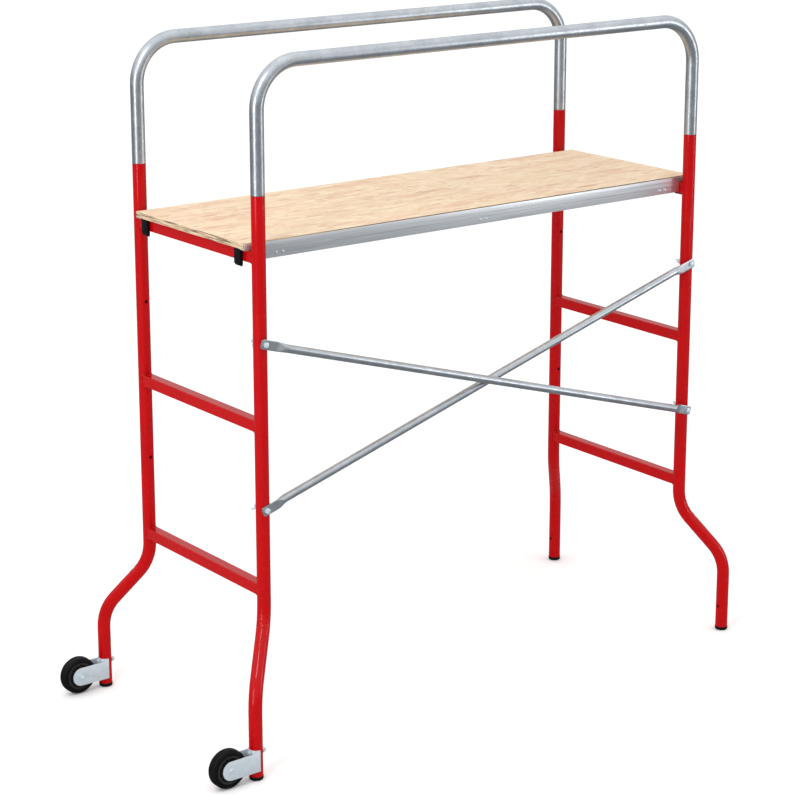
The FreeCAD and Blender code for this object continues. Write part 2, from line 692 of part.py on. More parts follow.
def make_fork(side):
    """A steel fork: two cheeks with round ends and a saddle that hugs the outside of the left leg."""
    body = new_body(f"fork_{side}", f"{CENTRE_X} - {FOOT_X}", times(SIDES_Y[side], FOOT_Y), AXLE_Z)
    saddle = new_sketch(body, "XY_Plane", "-1 * fork_height / 2")
    outer, inner = value("post_radius + fork_plate"), value("post_radius")
    arcs = []
    for radius in (outer, inner):
        arcs.append(saddle.addGeometry(arc_through(V(0, -radius, 0), V(-radius, 0, 0), V(0, radius, 0))))
    ends = []
    for sign in (-1, 1):
        ends.append(saddle.addGeometry(Part.LineSegment(V(0, sign * outer, 0), V(0, sign * inner, 0))))
    for line, sign in zip(ends, (-1, 1)):
        for arc, point, radius in ((arcs[0], 1, outer), (arcs[1], 2, inner)):
            spot = end_index(saddle, arc, V(0, sign * radius, 0))
            saddle.addConstraint(Sketcher.Constraint("Coincident", line, point, arc, spot))
        saddle.addConstraint(Sketcher.Constraint("PointOnObject", line, 1, -2))
        saddle.addConstraint(Sketcher.Constraint("PointOnObject", line, 2, -2))
    for arc, words in zip(arcs, ("post_radius + fork_plate", "post_radius")):
        pin(saddle, arc, 3, "0", "0")
        dimension(saddle, words, "Radius", arc)
    add_pad(body, saddle, "fork_height + saddle_rise")
    for sign in (-1, 1):
        cheek = new_sketch(body, "XZ_Plane", times(-sign, FORK_HALF))
        draw_cheek(cheek)
        add_pad(body, cheek, "fork_plate", back=sign > 0)
    bolt = new_sketch(body, "YZ_Plane")
    draw_circle(bolt, HOLE, "0", f"fork_bolt_height - {AXLE_Z}")
    add_pocket(body, bolt, "4 * post_radius", middle=True)


def draw_cheek(sketch):
    """A fork cheek from the leg's axis to a round end about the axle, with the axle hole."""
    half = value("fork_height / 2")
    x_axle = -value(AXLE_OFFSET)
    lower = sketch.addGeometry(Part.LineSegment(V(x_axle, -half, 0), V(0, -half, 0)))
    across = sketch.addGeometry(Part.LineSegment(V(0, -half, 0), V(0, half, 0)))
    upper = sketch.addGeometry(Part.LineSegment(V(0, half, 0), V(x_axle, half, 0)))
    arc = sketch.addGeometry(arc_through(V(x_axle, half, 0), V(x_axle - half, 0, 0), V(x_axle, -half, 0)))
    top = end_index(sketch, arc, sketch.Geometry[upper].EndPoint)
    sketch.addConstraint(Sketcher.Constraint("Coincident", lower, 2, across, 1))
    sketch.addConstraint(Sketcher.Constraint("Coincident", across, 2, upper, 1))
    sketch.addConstraint(Sketcher.Constraint("Tangent", upper, 2, arc, top))
    sketch.addConstraint(Sketcher.Constraint("Tangent", arc, 3 - top, lower, 1))
    sketch.addConstraint(Sketcher.Constraint("Horizontal", lower))
    sketch.addConstraint(Sketcher.Constraint("Vertical", across))
    sketch.addConstraint(Sketcher.Constraint("PointOnObject", across, 1, -2))
    pin(sketch, arc, 3, f"-1 * {AXLE_OFFSET}", "0")
    dimension(sketch, "fork_height / 2", "Radius", arc)
    draw_circle(sketch, HOLE, f"-1 * {AXLE_OFFSET}", "0")


AXLE_X = f"( {CENTRE_X} - {FOOT_X} - {AXLE_OFFSET} )"


def make_tyre(side):
    """A solid rubber tyre with rounded shoulders."""
    body = new_body(f"tyre_{side}", AXLE_X, times(SIDES_Y[side], FOOT_Y), AXLE_Z)
    profile = new_sketch(body, "XY_Plane")
    draw_outline(profile, [("rim_radius", "-1 * wheel_width / 2"), ("wheel_radius", "-1 * wheel_width / 2"),
                           ("wheel_radius", "wheel_width / 2"), ("rim_radius", "wheel_width / 2")])
    add_revolution(body, profile)
    rim = value("rim_radius")
    round_edges(body, "tyre_round", lambda edge: edge.Length > 2.2 * math.pi * rim)


def make_hub(side):
    """A moulded wheel centre: rim, web and a hub that turns on the axle sleeve."""
    body = new_body(f"hub_{side}", AXLE_X, times(SIDES_Y[side], FOOT_Y), AXLE_Z)
    profile = new_sketch(body, "XY_Plane")
    hub_face, rim_face = f"{FORK_HALF} - hub_play", "wheel_width / 2 - rim_draft"
    half = [("sleeve_radius + sliding_gap", hub_face), ("hub_radius", hub_face),
            ("hub_radius + hub_fillet", "web_thickness / 2"), ("rim_radius - rim_depth", "web_thickness / 2"),
            ("rim_radius - rim_depth + rim_draft", rim_face), ("rim_radius", rim_face)]
    mirrored = [(x, times(-1, y)) for x, y in reversed(half)]
    draw_outline(profile, half + mirrored)
    add_revolution(body, profile)


def wheel_group(name, outline_of, length, start, back):
    """One solid at each axle, padded along Y from a start measured outwards from the fork's middle."""
    body = new_body(name, AXLE_X, z=AXLE_Z)
    for sign in SIDES_Y.values():
        sketch = new_sketch(body, "XZ_Plane", f"-1 * ( {times(sign, FOOT_Y)} + {times(sign, start)} )")
        outline_of(sketch)
        add_pad(body, sketch, length, back=(sign > 0) != back)
    return body


def make_axles():
    """Each axle: a sleeve clamped between the cheeks, a bolt through it and a nut on the inner side."""
    def ring(sketch):
        draw_circle(sketch, "sleeve_radius")
        draw_circle(sketch, "bolt_radius + sliding_gap")

    def nut(sketch):
        draw_hexagon(sketch, "nut_width", "0", "0")
        draw_circle(sketch, "bolt_radius + sliding_gap")

    def head(sketch):
        draw_circle(sketch, "axle_head_radius")

    cheek = f"( {FORK_HALF} + fork_plate )"
    wheel_group("axle_sleeves", ring, f"2 * {FORK_HALF}", f"-1 * {FORK_HALF}", False)
    wheel_group("axle_nuts", nut, "nut_height", f"-1 * {cheek}", True)
    bolts = wheel_group("axle_bolts", head, "axle_head", cheek, False)
    for sign in SIDES_Y.values():
        sketch = new_sketch(bolts, "XZ_Plane", f"-1 * ( {times(sign, FOOT_Y)} + {times(sign, cheek)} )")
        draw_circle(sketch, "bolt_radius")
        add_pad(bolts, sketch, f"2 * {cheek} + nut_height + thread_end", back=sign < 0)


def make_fork_fasteners():
    """The bolt through each left leg: head inside the fork, washer and nut on the leg's inner side."""
    place = (f"{CENTRE_X} - {FOOT_X}", "0", "fork_bolt_height")
    spots = [times(sign, FOOT_Y) for sign in SIDES_Y.values()]
    bolts = new_body("fork_bolts", *place)
    heads = new_sketch(bolts, "YZ_Plane", "-1 * ( post_radius + fork_plate )")
    shanks = new_sketch(bolts, "YZ_Plane", "-1 * ( post_radius + fork_plate )")
    washers = new_body("fork_washers", *place)
    rings = new_sketch(washers, "YZ_Plane", "post_radius")
    nuts = new_body("fork_nuts", *place)
    hexagons = new_sketch(nuts, "YZ_Plane", "post_radius + washer_thickness")
    for y in spots:
        draw_hexagon(heads, "nut_width", y, "0")
        draw_circle(shanks, "bolt_radius", y, "0")
        draw_circle(rings, "washer_radius", y, "0")
        draw_circle(rings, HOLE, y, "0")
        draw_hexagon(hexagons, "nut_width", y, "0")
        draw_circle(hexagons, "bolt_radius + sliding_gap", y, "0")
    add_pad(bolts, heads, "head_height", back=True)
    add_pad(bolts, shanks, "2 * post_radius + fork_plate + washer_thickness + nut_height + thread_end")
    add_pad(washers, rings, "washer_thickness")
    add_pad(nuts, hexagons, "nut_height")


# ---------------------------------------------------------------- the whole scaffold

for end in SIDES_X:
    for side in SIDES_Y:
        make_post(end, side)
        make_plug(end, side)
        make_clip(end, side)
    for level, level_name in enumerate(("lower", "middle", "top")):
        make_rung(end, level_name, level)
for side in SIDES_Y:
    make_guard(side)
    make_rail(side)
    make_fork(side)
    make_tyre(side)
    make_hub(side)
make_board()
for name, x in BEAMS.items():
    make_beam(name, x)
make_beam_rivets()
make_screws("clip_screws", BOARD_BOTTOM, "-1 * clip_arm", clip_screw_spots())
make_screws("board_screws", BOARD_BOTTOM, "-1 * rail_ledge", board_screw_spots())
make_brace("brace_rising", 1, 1, "0")
make_brace("brace_falling", -1, -1, "brace_spacer")
make_brace_spacers()
make_brace_bolts()
make_brace_washers()
WING_TURNS = {("left", "upper"): 4, ("left", "lower"): 62, ("right", "upper"): 118, ("right", "lower"): -6}
for (end, level_name), turn in WING_TURNS.items():
    make_wing_nut(end, level_name, BRACE_LEVELS[level_name == "upper"], turn)
make_axles()
make_fork_fasteners()
doc.recompute()

# ---------------------------------------------------------------- checks and export

bodies = [each for each in doc.Objects if each.TypeId in ("PartDesign::Body", "Part::Feature")]
for each in doc.Objects:
    if "Invalid" in each.State or "Error" in each.State:
        raise RuntimeError(f"{each.Label} ({each.TypeId}) is {each.State}")
for each in bodies:
    if each.Shape.isNull() or not each.Shape.isValid() or each.Shape.Volume <= 0:
        raise RuntimeError(f"{each.Label} has no valid shape")
os.makedirs("parts", exist_ok=True)
for each in bodies:
    each.Shape.exportStep(f"parts/{each.Label}.step")
    print(f"{each.Label:26s} solids {len(each.Shape.Solids):2d}  volume {each.Shape.Volume:12.1f}")
print(len(bodies), "nodes")
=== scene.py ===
"""Baker scaffold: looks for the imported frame.

Metres, in the CAD frame: +X along the deck to the end without wheels, +Y to the side without
braces, +Z up, origin on the ground in the middle of the footprint.
"""

import json
import math
import random

import bmesh
import bpy
from mathutils import Matrix, Vector, noise


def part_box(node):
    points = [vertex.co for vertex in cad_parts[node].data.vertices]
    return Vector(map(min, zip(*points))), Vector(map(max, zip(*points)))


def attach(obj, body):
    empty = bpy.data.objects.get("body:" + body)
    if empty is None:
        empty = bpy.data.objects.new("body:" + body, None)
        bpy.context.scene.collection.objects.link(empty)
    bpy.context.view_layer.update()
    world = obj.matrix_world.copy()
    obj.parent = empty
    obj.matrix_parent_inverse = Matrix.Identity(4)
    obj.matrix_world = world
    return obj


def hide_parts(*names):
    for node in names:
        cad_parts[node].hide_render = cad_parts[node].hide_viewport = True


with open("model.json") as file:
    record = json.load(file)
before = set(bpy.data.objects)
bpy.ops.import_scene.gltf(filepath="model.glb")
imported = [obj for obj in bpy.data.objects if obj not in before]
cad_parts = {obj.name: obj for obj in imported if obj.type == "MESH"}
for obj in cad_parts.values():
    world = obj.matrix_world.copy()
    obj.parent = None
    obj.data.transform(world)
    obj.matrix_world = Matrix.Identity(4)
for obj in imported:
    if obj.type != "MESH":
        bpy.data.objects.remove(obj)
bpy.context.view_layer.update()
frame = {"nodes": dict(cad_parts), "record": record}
NODES = frame["nodes"]
SIDES = {"front": -1, "rear": 1}
ENDS = ("left", "right")
MERGE = 1e-6                   # vertices nearer than this are one


# ---------------------------------------------------------------- materials

# Sockets of a Mix node that blends colours
MIX_FACTOR, MIX_FIRST, MIX_SECOND, MIX_RESULT = 0, 6, 7, 2


class Look:
    """A Principled material with short calls for the nodes that feed it."""

    def __init__(self, name, metallic=0.0, roughness=0.5, **sockets):
        self.material = bpy.data.materials.new(name)
        self.material.use_nodes = True
        self.tree = self.material.node_tree
        self.tree.nodes.clear()
        output = self.tree.nodes.new("ShaderNodeOutputMaterial")
        self.shader = self.tree.nodes.new("ShaderNodeBsdfPrincipled")
        self.tree.links.new(self.shader.outputs["BSDF"], output.inputs["Surface"])
        self.shader.inputs["Metallic"].default_value = metallic
        self.shader.inputs["Roughness"].default_value = roughness
        for socket, number in sockets.items():
            self.shader.inputs[socket.replace("_", " ")].default_value = number
        self.place = self.tree.nodes.new("ShaderNodeTexCoord").outputs["Object"]

    def link(self, output, socket):
        self.tree.links.new(output, self.shader.inputs[socket])

    def feed(self, socket, given):
        """Link an output to a socket, or set a number or a colour on it."""
        if isinstance(given, bpy.types.NodeSocket):
            self.tree.links.new(given, socket)
        else:
            socket.default_value = (*given, 1) if isinstance(given, tuple) else given

    def stretched(self, scale, turn=0.0):
        """The place, scaled along each axis and turned about Z."""
        node = self.tree.nodes.new("ShaderNodeMapping")
        node.inputs["Scale"].default_value = scale
        node.inputs["Rotation"].default_value = (0, 0, turn)
        self.tree.links.new(self.place, node.inputs["Vector"])
        return node.outputs["Vector"]

    def noise(self, scale, detail=3.0, roughness=0.55, place=None, distortion=0.0):
        node = self.tree.nodes.new("ShaderNodeTexNoise")
        node.inputs["Scale"].default_value = scale
        node.inputs["Detail"].default_value = detail
        node.inputs["Roughness"].default_value = roughness
        node.inputs["Distortion"].default_value = distortion
        self.tree.links.new(place or self.place, node.inputs["Vector"])
        return node.outputs["Fac"]

    def cells(self, scale, place=None, output="Color", feature="F1"):
        node = self.tree.nodes.new("ShaderNodeTexVoronoi")
        node.feature = feature
        node.inputs["Scale"].default_value = scale
        self.tree.links.new(place or self.place, node.inputs["Vector"])
        return node.outputs[output]

    def ramp(self, factor, stops):
        """Stops are (position, colour or grey) pairs."""
        node = self.tree.nodes.new("ShaderNodeValToRGB")
        elements = node.color_ramp.elements
        while len(elements) < len(stops):
            elements.new(0.5)
        for element, (position, colour) in zip(elements, stops):
            element.position = position
            grey = isinstance(colour, (int, float))
            element.color = (colour, colour, colour, 1) if grey else (*colour, 1)
        self.tree.links.new(factor, node.inputs["Fac"])
        return node.outputs["Color"]

    def spread(self, factor, low, high):
        """A ramp over the range that most of a noise lies in."""
        return self.ramp(factor, [(0.3, low), (0.7, high)])

    def mix(self, factor, first, second, kind="MIX"):
        """Blend two colours; each may be an output or a colour, and the factor an output or a number."""
        node = self.tree.nodes.new("ShaderNodeMix")
        node.data_type = "RGBA"
        node.blend_type = kind
        for socket, given in ((MIX_FACTOR, factor), (MIX_FIRST, first), (MIX_SECOND, second)):
            self.feed(node.inputs[socket], given)
        return node.outputs[MIX_RESULT]

    def calculate(self, operation, *numbers):
        node = self.tree.nodes.new("ShaderNodeMath")
        node.operation = operation
        for socket, given in zip(node.inputs, numbers):
            self.feed(socket, given)
        return node.outputs["Value"]

    def bump(self, height, strength, distance=0.0002, under=None):
        node = self.tree.nodes.new("ShaderNodeBump")
        node.inputs["Strength"].default_value = strength
        node.inputs["Distance"].default_value = distance
        self.tree.links.new(height, node.inputs["Height"])
        if under is not None:
            self.tree.links.new(under, node.inputs["Normal"])
        return node.outputs["Normal"]


def red_paint():
    """Thick gloss enamel: even colour, a slow orange-peel ripple, and a little wear in its shine."""
    look = Look("red_paint", Specular_IOR_Level=0.06, Coat_Weight=0.3, Coat_Roughness=0.05)
    look.link(look.spread(look.noise(9, 4), (0.40, 0.0004, 0.0014), (0.44, 0.0006, 0.0020)), "Base Color")
    look.link(look.spread(look.noise(60), 0.20, 0.30), "Roughness")
    look.link(look.bump(look.noise(120, 1), 0.05), "Normal")
    return look.material


def galvanised():
    """Zinc on steel: cloudy patches under a fine spangle, with the odd pale scuff."""
    look = Look("galvanised_tube", metallic=1.0)
    clouds = look.ramp(look.noise(26, 6, 0.6), [(0.32, (0.44, 0.48, 0.52)), (0.68, (0.58, 0.62, 0.66))])
    spangle = look.ramp(look.cells(300), [(0.1, 0.90), (0.9, 1.0)])
    colour = look.mix(1.0, clouds, spangle, "MULTIPLY")
    scuffs = look.ramp(look.noise(75, 5, 0.7), [(0.60, 0.0), (0.75, 0.3)])
    look.link(look.mix(scuffs, colour, (0.70, 0.73, 0.76)), "Base Color")
    look.link(look.spread(look.noise(90, 4), 0.30, 0.42), "Roughness")
    look.link(look.bump(look.noise(60, 2), 0.04), "Normal")
    return look.material


def zinc():
    look = Look("zinc_plate", metallic=0.4, Specular_IOR_Level=0.4)
    look.link(look.spread(look.noise(55, 4), (0.58, 0.66, 0.71), (0.64, 0.72, 0.77)), "Base Color")
    look.link(look.spread(look.noise(130), 0.34, 0.48), "Roughness")
    look.link(look.bump(look.noise(220), 0.1), "Normal")
    return look.material


def aluminium():
    """Extruded metal with die lines along X."""
    look = Look("mill_aluminium", metallic=0.9)
    lines = look.noise(1, 4, place=look.stretched((5, 420, 420)))
    wear = look.noise(1, 3, place=look.stretched((8, 300, 300)))
    look.link(look.spread(lines, (0.60, 0.63, 0.66), (0.80, 0.83, 0.86)), "Base Color")
    look.link(look.spread(wear, 0.34, 0.5), "Roughness")
    look.link(look.bump(lines, 0.35), "Normal")
    return look.material


PALE_STRAND = (0.90, 0.75, 0.56)
STRAND_TONES = [(0.04, (0.62, 0.39, 0.25)), (0.22, (0.79, 0.58, 0.39)), (0.6, (0.84, 0.65, 0.45)),
                (0.92, PALE_STRAND)]
LONG_STRANDS = ((13, 70, 60), 0.10)      # stretch and turn of the layer whose edges show


def strand_board():
    """Pressed board of long light strands that lie mostly along X; its sawn sides have layer lines and are
    darkened overall with painted shade.
    """
    look = Look("strand_board", roughness=0.6, Specular_IOR_Level=0.3)
    colour = look.ramp(look.cells(1, look.stretched(*LONG_STRANDS)), STRAND_TONES)
    for scale, turn, low in (((16, 85, 60), -0.35, 0.47), ((20, 100, 60), 0.5, 0.52)):
        strands = look.ramp(look.cells(1, look.stretched(scale, turn)), STRAND_TONES)
        patches = look.ramp(look.noise(40 * low, 2), [(low, 0.0), (low + 0.08, 1.0)])
        colour = look.mix(patches, colour, strands)
    grain = look.noise(1, 5, 0.65, look.stretched((26, 520, 260), 0.05), 0.4)
    colour = look.mix(0.4, colour, look.ramp(grain, [(0.3, 0.74), (0.6, 1.0)]), "MULTIPLY")
    blush = look.ramp(look.noise(1, 4, 0.6, look.stretched((4.5, 20, 20), 0.35)), [(0.52, 0.0), (0.70, 0.55)])
    colour = look.mix(blush, colour, (0.66, 0.37, 0.26))
    streaks = look.noise(1, 3, 0.6, look.stretched((10, 130, 60), -0.06))
    colour = look.mix(look.ramp(streaks, [(0.62, 0.0), (0.74, 0.6)]), colour, (0.52, 0.28, 0.18))
    # Sawn sides: dark layer lines, and a darker tone overall that is painted shade
    layers = look.noise(1, 2, 0.5, look.stretched((1, 14, 420)))
    layers = look.ramp(layers, [(0.38, (0.15, 0.13, 0.12)), (0.56, (0.72, 0.64, 0.56))])
    sawn_layers_and_shade = look.mix(1.0, layers, PALE_STRAND, "MULTIPLY")
    normal = look.tree.nodes.new("ShaderNodeSeparateXYZ")
    look.feed(normal.inputs["Vector"], look.tree.nodes.new("ShaderNodeNewGeometry").outputs["Normal"])
    side = look.calculate("LESS_THAN", look.calculate("ABSOLUTE", normal.outputs["Z"]), 0.5)
    look.link(look.mix(side, colour, sawn_layers_and_shade), "Base Color")
    look.link(look.spread(look.noise(7, 2), 0.5, 0.68), "Roughness")
    edges = look.cells(1, look.stretched(*LONG_STRANDS), "Distance", "DISTANCE_TO_EDGE")
    rims = look.bump(look.ramp(edges, [(0.0, 0.0), (0.08, 1.0)]), 0.3, 0.0003)
    look.link(look.bump(grain, 0.4, 0.0003, rims), "Normal")
    return look.material


def plastic(name, dark, light, low, high, grain):
    """Moulded plastic or rubber: its tones, its range of roughness and how fine its grain is."""
    look = Look(name, Specular_IOR_Level=0.12)
    look.link(look.spread(look.noise(35, 3), dark, light), "Base Color")
    look.link(look.spread(look.noise(80), low, high), "Roughness")
    look.link(look.bump(look.noise(grain, 2), 0.4), "Normal")
    return look.material


LOOKS = {
    "red_paint": red_paint(),
    "galvanised_steel": galvanised(),
    "zinc_plated_steel": zinc(),
    "aluminium": aluminium(),
    "plywood": strand_board(),
    "black_plastic": plastic("black_plastic", (0.002, 0.002, 0.003), (0.005, 0.005, 0.006), 0.34, 0.48, 500),
    "grey_plastic": plastic("grey_plastic", (0.02, 0.02, 0.021), (0.035, 0.035, 0.036), 0.42, 0.55, 700),
    "rubber": plastic("tyre_rubber", (0.0015, 0.0015, 0.002), (0.005, 0.005, 0.005), 0.42, 0.58, 450),
}

for part in frame["record"]["subparts"]:
    mesh = NODES[part["node"]].data
    mesh.materials.clear()
    mesh.materials.append(LOOKS[part["material_slot"]])


# ---------------------------------------------------------------- mesh helpers

def add_piece(name, shell, body, slot, replaced=(), sharp=35):
    """Finish a bmesh as an object that rides on a body and may stand for CAD nodes."""
    bmesh.ops.recalc_face_normals(shell, faces=shell.faces)
    mesh = bpy.data.meshes.new(name)
    shell.to_mesh(mesh)
    shell.free()
    mesh.shade_smooth()
    mesh.set_sharp_from_angle(angle=math.radians(sharp))
    mesh.materials.append(LOOKS[slot])
    thing = bpy.data.objects.new(name, mesh)
    bpy.context.scene.collection.objects.link(thing)
    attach(thing, body)
    if replaced:
        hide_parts(*replaced)


def join_rings(shell, lower, upper):
    """Faces between two rings of vertices; a ring of one vertex is a tip."""
    count = max(len(lower), len(upper))
    for step in range(count):
        after = (step + 1) % count
        if len(lower) == 1:
            corners = (lower[0], upper[after], upper[step])
        elif len(upper) == 1:
            corners = (lower[step], lower[after], upper[0])
        else:
            corners = (lower[step], lower[after], upper[after], upper[step])
        shell.faces.new(corners)


def lathe(shell, profile, place, axis, closed=False, steps=48):
    """Turn a profile about an axis.

    Each entry is a (radius, height) pair, or a function that gives one for an angle.
    """
    turn = Vector(axis).to_track_quat("Z", "Y")
    rings = []
    for entry in profile:
        ring = []
        tip = not callable(entry) and entry[0] == 0
        for step in range(1 if tip else steps):
            angle = math.tau * step / steps
            radius, height = entry(angle) if callable(entry) else entry
            spot = Vector((radius * math.cos(angle), radius * math.sin(angle), height))
            ring.append(shell.verts.new(Vector(place) + turn @ spot))
        rings.append(ring)
    if closed:
        rings.append(rings[0])
    for lower, upper in zip(rings, rings[1:]):
        join_rings(shell, lower, upper)


def rounding(size, steps):
    """Pairs that round a corner: how far each point lies inside the one face, and inside the other."""
    angles = [math.pi / 2 * step / steps for step in range(steps + 1)]
    return [(size * (1 - math.cos(angle)), size * (1 - math.sin(angle))) for angle in angles]


HEX_FACE = 0.475               # radius of a hexagon's flat face, as a share of its width across flats
THREAD_PITCH = 0.00125
THREAD_DEPTH = 0.0006


def hexagon(flats, height, chamfer=0):
    """A ring function for a hexagon; a chamfer of 1 or -1 lifts or drops its corners as a turned bar's."""
    def ring(angle):
        reach = flats / 2 / math.cos((angle + math.pi / 6) % (math.pi / 3) - math.pi / 6)
        return reach, height + chamfer * (reach - HEX_FACE * flats) * math.tan(math.pi / 6)
    return ring


def threads(radius, start, length):
    """Profile points of a threaded end, up to its flat tip."""
    points = []
    for turn in range(int(length / THREAD_PITCH)):
        low = start + turn * THREAD_PITCH
        points += [(radius - THREAD_DEPTH, low), (radius, low + THREAD_PITCH / 2)]
    end = start + length
    return points + [(radius - THREAD_DEPTH, end - THREAD_DEPTH), (radius - 2 * THREAD_DEPTH, end), (0, end)]


def merged(node):
    """A CAD node's mesh with one vertex at each corner."""
    shell = bmesh.new()
    shell.from_mesh(NODES[node].data)
    bmesh.ops.remove_doubles(shell, verts=shell.verts, dist=MERGE)
    return shell


def solids(node):
    """The boxes of a node's separate solids, in a fixed order."""
    shell = merged(node)
    boxes, left = [], set(shell.verts)
    while left:
        waiting, found = [left.pop()], []
        while waiting:
            vert = waiting.pop()
            found.append(vert.co.copy())
            near = [edge.other_vert(vert) for edge in vert.link_edges]
            fresh = [other for other in near if other in left]
            left.difference_update(fresh)
            waiting += fresh
        low = Vector(min(spot[i] for spot in found) for i in range(3))
        high = Vector(max(spot[i] for spot in found) for i in range(3))
        boxes.append((low, high))
    shell.free()
    return sorted(boxes, key=lambda box: tuple(round(number, 5) for number in box[0]))


FLAT_ANGLE = math.radians(1)
HARD_ANGLE = math.radians(30)


def softened(node, body, slot, width):
    """A copy of a CAD node whose hard edges are rounded, standing for the node."""
    shell = merged(node)
    bmesh.ops.dissolve_limit(shell, angle_limit=FLAT_ANGLE, verts=shell.verts, edges=shell.edges)
    hard = [edge for edge in shell.edges if edge.calc_face_angle(0) > HARD_ANGLE]
    bmesh.ops.bevel(shell, geom=hard, offset=width, offset_type="OFFSET", segments=2, profile=0.5,
                    affect="EDGES", clamp_overlap=True)
    add_piece(f"{node}_soft", shell, body, slot, [node])


# ---------------------------------------------------------------- sizes read from the frame

TOP_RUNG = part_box("rung_left_top")
POST_RADIUS = (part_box("guard_front")[1].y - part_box("guard_front")[0].y) / 2
RUNG_HALF = (TOP_RUNG[1].z - TOP_RUNG[0].z) / 2
POST_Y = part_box("guard_rear")[1].y - POST_RADIUS


# ---------------------------------------------------------------- fasteners

BOLT_RADIUS = 0.004
HEAD_HEIGHT = 0.0053           # hexagon heads
HEAD_PAD = 0.0002              # the raised disc on top of a head
HEAD_EDGE = 0.0004
BOLT_THREAD = 0.022
COUNTERSINK = 0.0006
WASHER_GAP = 0.0005
WASHER_ROUND = 0.0005
WASHER_BURR = 0.0003
AXLE_HEAD = 0.0026
AXLE_THREAD = 0.016
SOCKET_FLATS = 0.005
SOCKET_DEPTH = 0.0017
SOCKET_FLOOR = 0.0022
SOCKET_MOUTH = 0.0036
RECESS_DEPTH = 0.0009
RECESS_RADIUS = 0.0017
RECESS_LOBE = 0.0004
SCREW_HEAD = 0.0015
DOME_STEPS = 6


def bolt_profile(flats, length):
    """A hexagon bolt standing on its head's top: head, plain shank and threaded end."""
    face = HEX_FACE * flats
    plain = length - BOLT_THREAD
    pad = [(0, -HEAD_PAD), (face * 0.75, -HEAD_PAD), (face * 0.82, 0)]
    head = [(face, 0), hexagon(flats, 0, 1), hexagon(flats, HEAD_HEIGHT - HEAD_EDGE), (face, HEAD_HEIGHT)]
    shank = [(BOLT_RADIUS, HEAD_HEIGHT), (BOLT_RADIUS, plain)]
    return pad + head + shank + threads(BOLT_RADIUS, plain, BOLT_THREAD)


def nut_profile(flats, height):
    """A hexagon nut, chamfered on both faces and countersunk at its bore."""
    face, mouth = HEX_FACE * flats, BOLT_RADIUS + COUNTERSINK
    lower = [(BOLT_RADIUS, COUNTERSINK), (mouth, 0), (face, 0), hexagon(flats, 0, 1)]
    upper = [hexagon(flats, height, -1), (face, height), (mouth, height), (BOLT_RADIUS, height - COUNTERSINK)]
    return lower + upper


def washer_profile(width, thick):
    """A punched ring: a rounded edge on one face, a crisp one on the other."""
    radius, bore = width / 2, BOLT_RADIUS + WASHER_GAP
    edge = [(radius - inward, thick - down) for inward, down in rounding(WASHER_ROUND, 4)]
    return [(bore, 0), (radius, 0)] + edge + [(bore + WASHER_BURR, thick), (bore, thick - WASHER_BURR)]


def turn_solids(node, axis, profile, ending, closed=True):
    """Turn each solid of a node about X or Y, from its width along Z and its length along the axis."""
    shell = bmesh.new()
    direction = Vector((axis == 0, axis == 1, 0))
    for low, high in solids(node):
        start = (low + high) / 2
        start[axis] = low[axis]
        lathe(shell, profile(high.z - low.z, high[axis] - low[axis]), start, direction, closed)
    add_piece(f"{node}_{ending}", shell, "frame", "zinc_plated_steel", [node])


def make_bolts():
    """Bolts of the braces, heads to the front, and of the forks, heads towards the wheels."""
    for node, axis in (("brace_bolts", 1), ("fork_bolts", 0)):
        turn_solids(node, axis, bolt_profile, "turned", closed=False)


def make_nuts():
    for node, axis in (("axle_nuts", 1), ("fork_nuts", 0)):
        turn_solids(node, axis, nut_profile, "turned")


def make_washers():
    for node, axis in (("brace_washers", 1), ("brace_spacers", 1), ("fork_washers", 0)):
        turn_solids(node, axis, washer_profile, "punched")


def make_axle_bolts():
    """Axles with low round heads outside the forks, each head with a hexagon socket."""
    shell = bmesh.new()
    for low, high in solids("axle_bolts"):
        side = 1 if low.y > 0 else -1
        head_top = high.y if side > 0 else low.y
        radius = (high.z - low.z) / 2
        middle = (low + high) / 2
        plain = high.y - low.y - AXLE_THREAD
        socket = [(0, SOCKET_DEPTH), (SOCKET_FLOOR, SOCKET_DEPTH)]
        socket += [hexagon(SOCKET_FLATS, SOCKET_DEPTH - 0.0001), hexagon(SOCKET_FLATS, 0.0002)]
        socket += [(SOCKET_MOUTH, 0)]
        crown = [(radius * 0.72, 0.0001), (radius * 0.93, 0.0008), (radius, 0.0016), (radius, AXLE_HEAD)]
        shank = [(BOLT_RADIUS, AXLE_HEAD), (BOLT_RADIUS, plain)]
        profile = socket + crown + shank + threads(BOLT_RADIUS, plain, AXLE_THREAD)
        lathe(shell, profile, (middle.x, head_top, middle.z), (0, -side, 0))
    add_piece("axle_bolts_turned", shell, "frame", "zinc_plated_steel", ["axle_bolts"])


def make_rivets():
    """Domed rivet heads on the outside of the rails."""
    shell = bmesh.new()
    for low, high in solids("beam_rivets"):
        side = 1 if low.y > 0 else -1
        inner = low.y if side > 0 else high.y
        middle = (low + high) / 2
        radius, reach = (high.x - low.x) / 2, high.y - low.y
        flange = reach / 2
        profile = [(0, 0), (radius, 0), (radius, flange)]
        for step in range(1, DOME_STEPS):
            angle = math.pi / 2 * step / DOME_STEPS
            profile.append((radius * math.cos(angle), flange + (reach - flange) * math.sin(angle)))
        profile.append((0, reach))
        lathe(shell, profile, (middle.x, inner, middle.z), (0, side, 0), steps=32)
    add_piece("beam_rivets_domed", shell, "deck", "aluminium", ["beam_rivets"])


def recess(depth):
    """A ring function for the six-lobed recess of a screw."""
    return lambda angle: (RECESS_RADIUS + RECESS_LOBE * math.cos(6 * angle), depth)


